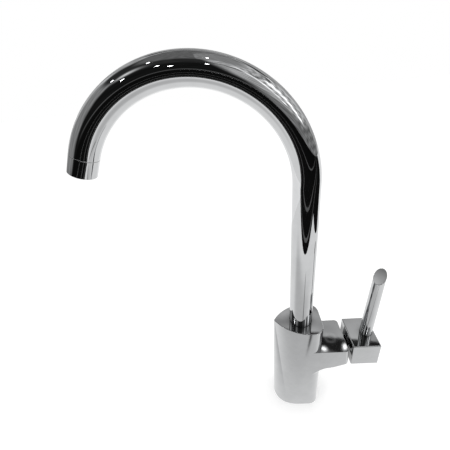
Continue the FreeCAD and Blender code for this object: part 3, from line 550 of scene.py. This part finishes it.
def studio_world(ambient):
    """White behind the tap for the camera and for reflections, plain grey light otherwise."""
    world = bpy.data.worlds.new("studio")
    bpy.context.scene.world = world
    world.use_nodes = True
    tree = world.node_tree
    tree.nodes.clear()
    colour = add(tree, "Mix", "Result", {"Factor": seen_directly(tree),
                                         "A": (ambient, ambient, ambient, 1), "B": WHITE},
                 data_type="RGBA")
    background = add(tree, "Background", "Background", {"Color": colour})
    add(tree, "OutputWorld", None, {"Surface": background})


def floor_material():
    """Pale painted board: it takes the tap's shadow and shows white where it is lit."""
    material, tree, shader = new_material("painted_board_white")
    place = add(tree, "TexCoord", "Object", {})
    brushed = add(tree, "TexNoise", "Fac", {"Vector": place, "Scale": 1 / (2 * MM)})
    paint = add(tree, "Mix", "Result", {"Factor": brushed, "A": linear("E4E4E4"),
                                        "B": linear("E7E7E7")}, data_type="RGBA")
    lift = add(tree, "Math", "Value", {0: seen_directly(tree), 1: FLOOR_LIFT},
               operation="MULTIPLY")
    feed(tree, shader, {"Base Color": paint, "Roughness": 0.8, "Specular IOR Level": 0.2,
                        "Emission Color": WHITE, "Emission Strength": lift})
    return material


def card_material(name, hex_colour, strength=0.0):
    """Matt studio card that shows in reflections only."""
    material, tree, shader = new_material(name)
    feed(tree, shader, {"Base Color": linear(hex_colour), "Roughness": 1.0,
                        "Specular IOR Level": 0.0, "Emission Color": WHITE,
                        "Emission Strength": strength})
    return material


def glowing_material(name):
    """Studio surface that glows as bright as the value stored at each of its points."""
    material, tree, shader = new_material(name)
    glow = add(tree, "Attribute", "Fac", {}, attribute_name="glow")
    feed(tree, shader, {"Base Color": BLACK, "Specular IOR Level": 0.0, "Emission Color": WHITE,
                        "Emission Strength": glow})
    return material


def stage_piece(made, material):
    """Give a studio piece its material."""
    made.data.materials.append(material)
    return made


def reflected_only(made):
    """Let a studio card show in reflections and nowhere else."""
    made.visible_camera = False
    made.visible_diffuse = False
    made.visible_shadow = False
    made.visible_transmission = False


def store_glow(made, glow):
    """Store how bright a studio surface is at each of its points."""
    store = made.data.attributes.new("glow", "FLOAT", "POINT")
    store.data.foreach_set("value", glow.astype(np.float32).ravel())


def step(value, edge, soft):
    """Smooth step t^2 (3 - 2 t), with t from 0 to 1 as value passes edge over a width of soft."""
    share = np.clip((value - edge) / soft + 0.5, 0, 1)
    return share * share * (3 - 2 * share)


def band(value, low, high, soft):
    """1 between low and high and 0 outside, with soft edges."""
    return step(value, low, soft) * (1 - step(value, high, soft))


def hump(value, centre, width):
    """Bell curve exp(-((value - centre) / width)^2)."""
    return np.exp(-((value - centre) / width) ** 2)


def uneven_walls(a, e):
    """Faint ripple times streaks on the back wall, sines of azimuth and elevation round 1."""
    ripple = 0.22 * np.sin(a / 3.1 + 2 * np.sin(e / 9)) * np.sin(e / 2.3 + np.sin(a / 7))
    depth = 0.48 * (1 - 0.6 * band(e, 44, 54, 4)) * band(a, -70, 62, 30)
    streaks = np.sin(1.9 * e + 1.5 * np.sin(a / 11)) * np.sin(a / 9 + e / 5)
    return 1 + ripple + depth * streaks


def window_glow(a, e):
    """Tall window on the right: brighter above, with a dark bar across and two bright streaks."""
    panes = 0.75 + 0.5 * np.sin(e * 1.3 + 2 * np.sin(a / 5)) * np.sin(a / 4.3 + np.sin(e / 6))
    bar = 1 - 0.8 * band(e, 48, 51.5, 1.2)
    glass = band(a, 58, 171, 12) * band(e, -4, 63, 8) * bar * (0.30 + 0.40 * step(e, 19, 7))
    near_width = np.maximum(1, 4 + 0.25 * (e - 20))
    near_streak = 2.2 * hump(a, 107, near_width) * band(e, 18, 50, 4)
    far_streak = 1.5 * hump(a, 138 + 0.4 * (e - 40), 4) * band(e, 26, 56, 5)
    return (glass + near_streak + far_streak) * panes


def studio_glow(a, e):
    """How bright the studio is at azimuth a from the back wall and elevation e, in degrees.

    It is the sum of a dark room, the back and left walls' greys, a spot on the left, the window
    and its bright sill, the ceiling and a faint skirting line behind the camera. All that is
    times the walls' ripple and is darkened by a beam across the back wall's top. The lamps that
    hang before the beam and a faint ring below them come on top.
    """
    glow = 0.010 + 0.022 * step(e, 42, 12)
    for level, across, up in STUDIO_GREYS:
        glow = glow + level * band(a, *across) * band(e, *up)
    for level, across, up in STUDIO_SPOTS:
        glow = glow + level * hump(a, *across) * hump(e, *up)
    sill = 1.6 * band(a, 50, 66, 7) * hump(e, 47, 1.8)
    ceiling = 0.14 * step(e, 62, 8) * (1 + 1.1 * step(a, 20, 60))
    skirting = 0.13 * (1 - band(a, -140, 165, 12)) * hump(e, 4.5, 1.4)
    glow = glow + window_glow(a, e) + sill + ceiling + skirting
    beam_foot = np.degrees(np.arctan(1.25 * np.cos(np.radians(a - 11))))
    beam = band(a, -34, 62, 8) * step(e, beam_foot, 0.5) * (1 - step(e, 53.6, 1.6))
    ring = 0.10 * hump(np.hypot((a - 22.6) / 1.4, (e - 50.9) / 0.75), 1, 0.25)
    lamps = sum(level * hump(a, *across) * hump(e, *up) for level, across, up in STUDIO_LAMPS)
    return glow * uneven_walls(a, e) * (1 - 0.96 * beam) + lamps + ring


def studio_dome():
    """Half sphere on the floor with its glow stored at every point.

    Point = R (cos e sin a, cos e cos a, sin e), azimuth a from the back (+Y), elevation e up to
    just short of the zenith, where one flat face closes it. The points lie closer together where
    the tap's flat tops look.
    """
    a = np.concatenate([np.arange(-180, -40, 1.25), np.arange(-40, 60, 0.5),
                        np.arange(60, 180, 1.25)])
    e = np.concatenate([np.arange(0, 44, 1.0), np.arange(44, 55, 0.2),
                        np.arange(55, 89.6, 1.15)])
    a, e = np.meshgrid(a, e)
    across, up = np.radians(a), np.radians(e)
    grid = DOME_RADIUS * np.stack([np.cos(up) * np.sin(across), np.cos(up) * np.cos(across),
                                   np.sin(up)], -1)
    made = mesh_object("studio_dome", grid, open_start=True)
    store_glow(made, studio_glow(a, e))
    return made


def flat_card(name, corners, height):
    """Flat four-cornered card that lies at a height above the floor."""
    mesh = bpy.data.meshes.new(name)
    mesh.from_pydata([(x, y, height) for x, y in corners], [], [(0, 1, 2, 3)])
    made = bpy.data.objects.new(name, mesh)
    bpy.context.scene.collection.objects.link(made)
    return made


def shaded_sheet(columns=360, rows=150):
    """White sheet round the tap, shaded softly in front, where the user stands.

    Point = (r sin a, r cos a - 0.14, height) with r from the sheet's radius down to its centre.
    Glow = (1 - 0.34 exp(-q^2)) (1 - 0.85 strip), where q = ((x + 0.10) / 0.26)^2 +
    ((y + 0.14) / 0.12)^2. The strip is a dark line some 16 mm wide that leads away from the tap
    towards the user, from 0.11 to 0.26 m in front of it and 0.31 m to the right for each metre.
    """
    a = np.linspace(-math.pi, math.pi, columns, endpoint=False)
    r = np.linspace(SHEET_RADIUS, 2 * MM, rows)[:, None]
    x, y = r * np.sin(a), r * np.cos(a) + SHEET_CENTRE_Y
    made = mesh_object("shaded_sheet", np.stack([x, y, np.full_like(x, SHEET_HEIGHT)], -1),
                       open_start=True)
    q = ((x + 0.10) / 0.26) ** 2 + ((y + 0.14) / 0.12) ** 2
    middle = 0.024 - 0.31 * (y + 0.134)
    strip = hump(x, middle, 0.008) * band(-y, 0.11, 0.26, 0.04)
    store_glow(made, (1 - 0.34 * np.exp(-q ** 2)) * (1 - 0.85 * strip))
    return made


def room_floor():
    """Dark floor of the room in front and to the right, beyond the white sheet under the tap."""
    far, front, right = ROOM_REACH, ROOM_FRONT, ROOM_RIGHT
    dark = card_material("black_card", "121212")
    pale = card_material("grey_tape", "000000", 0.13)
    in_front = [(-far, -far), (far, -far), (far, front), (-far, front)]
    at_right = [(right, front), (far, front), (far, 0.7), (right, 0.12)]
    cards = [(flat_card("room_floor_front", in_front, ROOM_HEIGHT), dark),
             (flat_card("room_floor_right", at_right, ROOM_HEIGHT), dark)]
    for i, y in enumerate(TAPE_PLACES):
        half = 0.006 - 0.012 * y
        strip = [(-far, y - half), (far, y - half), (far, y + half), (-far, y + half)]
        cards.append((flat_card(f"floor_tape_{i}", strip, TAPE_HEIGHT), pale))
    for made, material in cards:
        reflected_only(stage_piece(made, material))
    reflected_only(stage_piece(shaded_sheet(), glowing_material("white_sheet")))


def disc_lamp(name, place, size, radiance):
    """Round lamp that faces the tap.

    Radiance is what a mirror shows of it. The lamp's power is pi times that times its area.
    """
    data = bpy.data.lights.new(name, "AREA")
    data.shape = "DISK"
    data.size = size
    data.energy = math.pi * radiance * math.pi * size * size / 4
    lamp = bpy.data.objects.new(name, data)
    bpy.context.scene.collection.objects.link(lamp)
    direction = unit(np.asarray(place, float) - LAMP_TARGET)
    side = unit(np.cross([0.0, 1.0, 0.02], direction))
    matrix = np.eye(4)
    matrix[:3, :3] = np.column_stack([side, np.cross(direction, side), direction])
    matrix[:3, 3] = place
    lamp.matrix_world = Matrix(matrix.tolist())
    return lamp


# ---- operators -------------------------------------------------------------------------------
FINISHES = {}


def finish_of(context, name):
    """One of the tap's materials, made on first use."""
    if not FINISHES:
        FINISHES.update(tap_materials(context.scene.tap_finishes))
    return FINISHES[name]


def dress(context, made, body, node, finish):
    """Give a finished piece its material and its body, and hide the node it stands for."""
    made.data.materials.append(finish_of(context, finish))
    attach(made, body)
    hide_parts(node)


class TAP_OT_spout_tube(bpy.types.Operator):
    """Build the bent spout tube"""

    bl_idname = "tap.spout_tube"
    bl_label = "Spout tube"

    def execute(self, context):
        """Carry the tube's closed profile along the spout's centreline."""
        made = build_spout_tube(context.scene.tap_spout)
        dress(context, made, "spout", "spout_tube", "chrome")
        return {"FINISHED"}


class TAP_OT_outlet_nozzle(bpy.types.Operator):
    """Build the flush outlet nozzle"""

    bl_idname = "tap.outlet_nozzle"
    bl_label = "Outlet nozzle"

    def execute(self, context):
        """Carry the nozzle's closed profile on past the tube's end."""
        made = build_nozzle(context.scene.tap_spout)
        dress(context, made, "spout", "outlet_nozzle", "chrome")
        return {"FINISHED"}


class TAP_OT_lever_rod(bpy.types.Operator):
    """Build the tapering lever rod"""

    bl_idname = "tap.lever_rod"
    bl_label = "Lever rod"

    def execute(self, context):
        """Run the rod's wall lines up to its slanted face."""
        made = build_rod(context.scene.tap_lever)
        dress(context, made, "lever", "lever_rod", "chrome")
        return {"FINISHED"}


class TAP_OT_finishes(bpy.types.Operator):
    """Give every piece of the frame its finish"""

    bl_idname = "tap.finishes"
    bl_label = "Finishes"

    def execute(self, context):
        """Assign a material to each node's slots."""
        for node, finish in NODE_FINISH.items():
            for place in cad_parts[node].material_slots:
                place.material = finish_of(context, finish)
        return {"FINISHED"}


class TAP_OT_stage(bpy.types.Operator):
    """Set up the floor, the studio and the camera"""

    bl_idname = "tap.stage"
    bl_label = "Studio"

    def execute(self, context):
        """Make the world, floor, cards, lamps and camera."""
        settings = context.scene.tap_stage
        context.scene.view_settings.view_transform = "Standard"
        studio_world(settings.ambient)
        far = FLOOR_REACH
        floor = flat_card("floor", [(-far, -far), (far, -far), (far, far), (-far, far)], 0)
        stage_piece(floor, floor_material())
        reflected_only(stage_piece(studio_dome(), glowing_material("studio_walls")))
        room_floor()
        for softbox in SOFTBOXES:
            disc_lamp(*softbox).visible_glossy = False
        for i, place in enumerate(DOWNLIGHTS):
            disc_lamp(f"downlight_{i}", place, DOWNLIGHT_SIZE, DOWNLIGHT_RADIANCE)
        self.camera(context, settings)
        return {"FINISHED"}

    def camera(self, context, settings):
        """Camera from its yaw, downward pitch and roll."""
        cy, sy = math.cos(settings.camera_yaw), math.sin(settings.camera_yaw)
        cp, sp = math.cos(settings.camera_pitch), math.sin(settings.camera_pitch)
        forward = np.array([sy * cp, cy * cp, -sp])
        right = np.array([cy, -sy, 0.0])
        up = np.cross(right, forward)
        c, s = math.cos(settings.camera_roll), math.sin(settings.camera_roll)
        matrix = np.eye(4)
        matrix[:3, 0] = c * right + s * up
        matrix[:3, 1] = -s * right + c * up
        matrix[:3, 2] = -forward
        matrix[:3, 3] = settings.camera_place
        data = bpy.data.cameras.new("camera")
        data.sensor_width = 36.0
        data.lens = settings.lens
        data.clip_start = 0.01
        camera = bpy.data.objects.new("camera", data)
        context.scene.collection.objects.link(camera)
        camera.matrix_world = Matrix(matrix.tolist())
        context.scene.camera = camera


PIECES = (TAP_OT_spout_tube, TAP_OT_outlet_nozzle, TAP_OT_lever_rod, TAP_OT_finishes, TAP_OT_stage)


class TAP_PT_panel(bpy.types.Panel):
    """Sidebar panel that lists the tap's pieces"""

    bl_idname = "TAP_PT_panel"
    bl_label = "Filtered Water Tap"
    bl_space_type = "VIEW_3D"
    bl_region_type = "UI"
    bl_category = "Tap"

    def draw(self, context):
        """One button for each piece and the sizes below them."""
        for piece in PIECES:
            self.layout.operator(piece.bl_idname)
        for group in (context.scene.tap_spout, context.scene.tap_lever, context.scene.tap_finishes,
                      context.scene.tap_stage):
            box = self.layout.box()
            for name in group.__annotations__:
                box.prop(group, name)


GROUPS = {"tap_spout": TapSpoutSizes, "tap_lever": TapLeverSizes, "tap_finishes": TapFinishes,
          "tap_stage": TapStageSettings}


def register():
    """Register the classes and hang the settings on the scene."""
    for made in (*GROUPS.values(), *PIECES, TAP_PT_panel):
        bpy.utils.register_class(made)
    for name, group in GROUPS.items():
        setattr(bpy.types.Scene, name, PointerProperty(type=group))


def unregister():
    """Remove the settings and the classes."""
    for name in GROUPS:
        delattr(bpy.types.Scene, name)
    for made in (TAP_PT_panel, *reversed(PIECES), *reversed(GROUPS.values())):
        bpy.utils.unregister_class(made)


def main():
    """Build the tap piece by piece."""
    register()
    for piece in PIECES:
        group, name = piece.bl_idname.split(".")
        getattr(getattr(bpy.ops, group), name)()


if __name__ == "__main__":
    main()
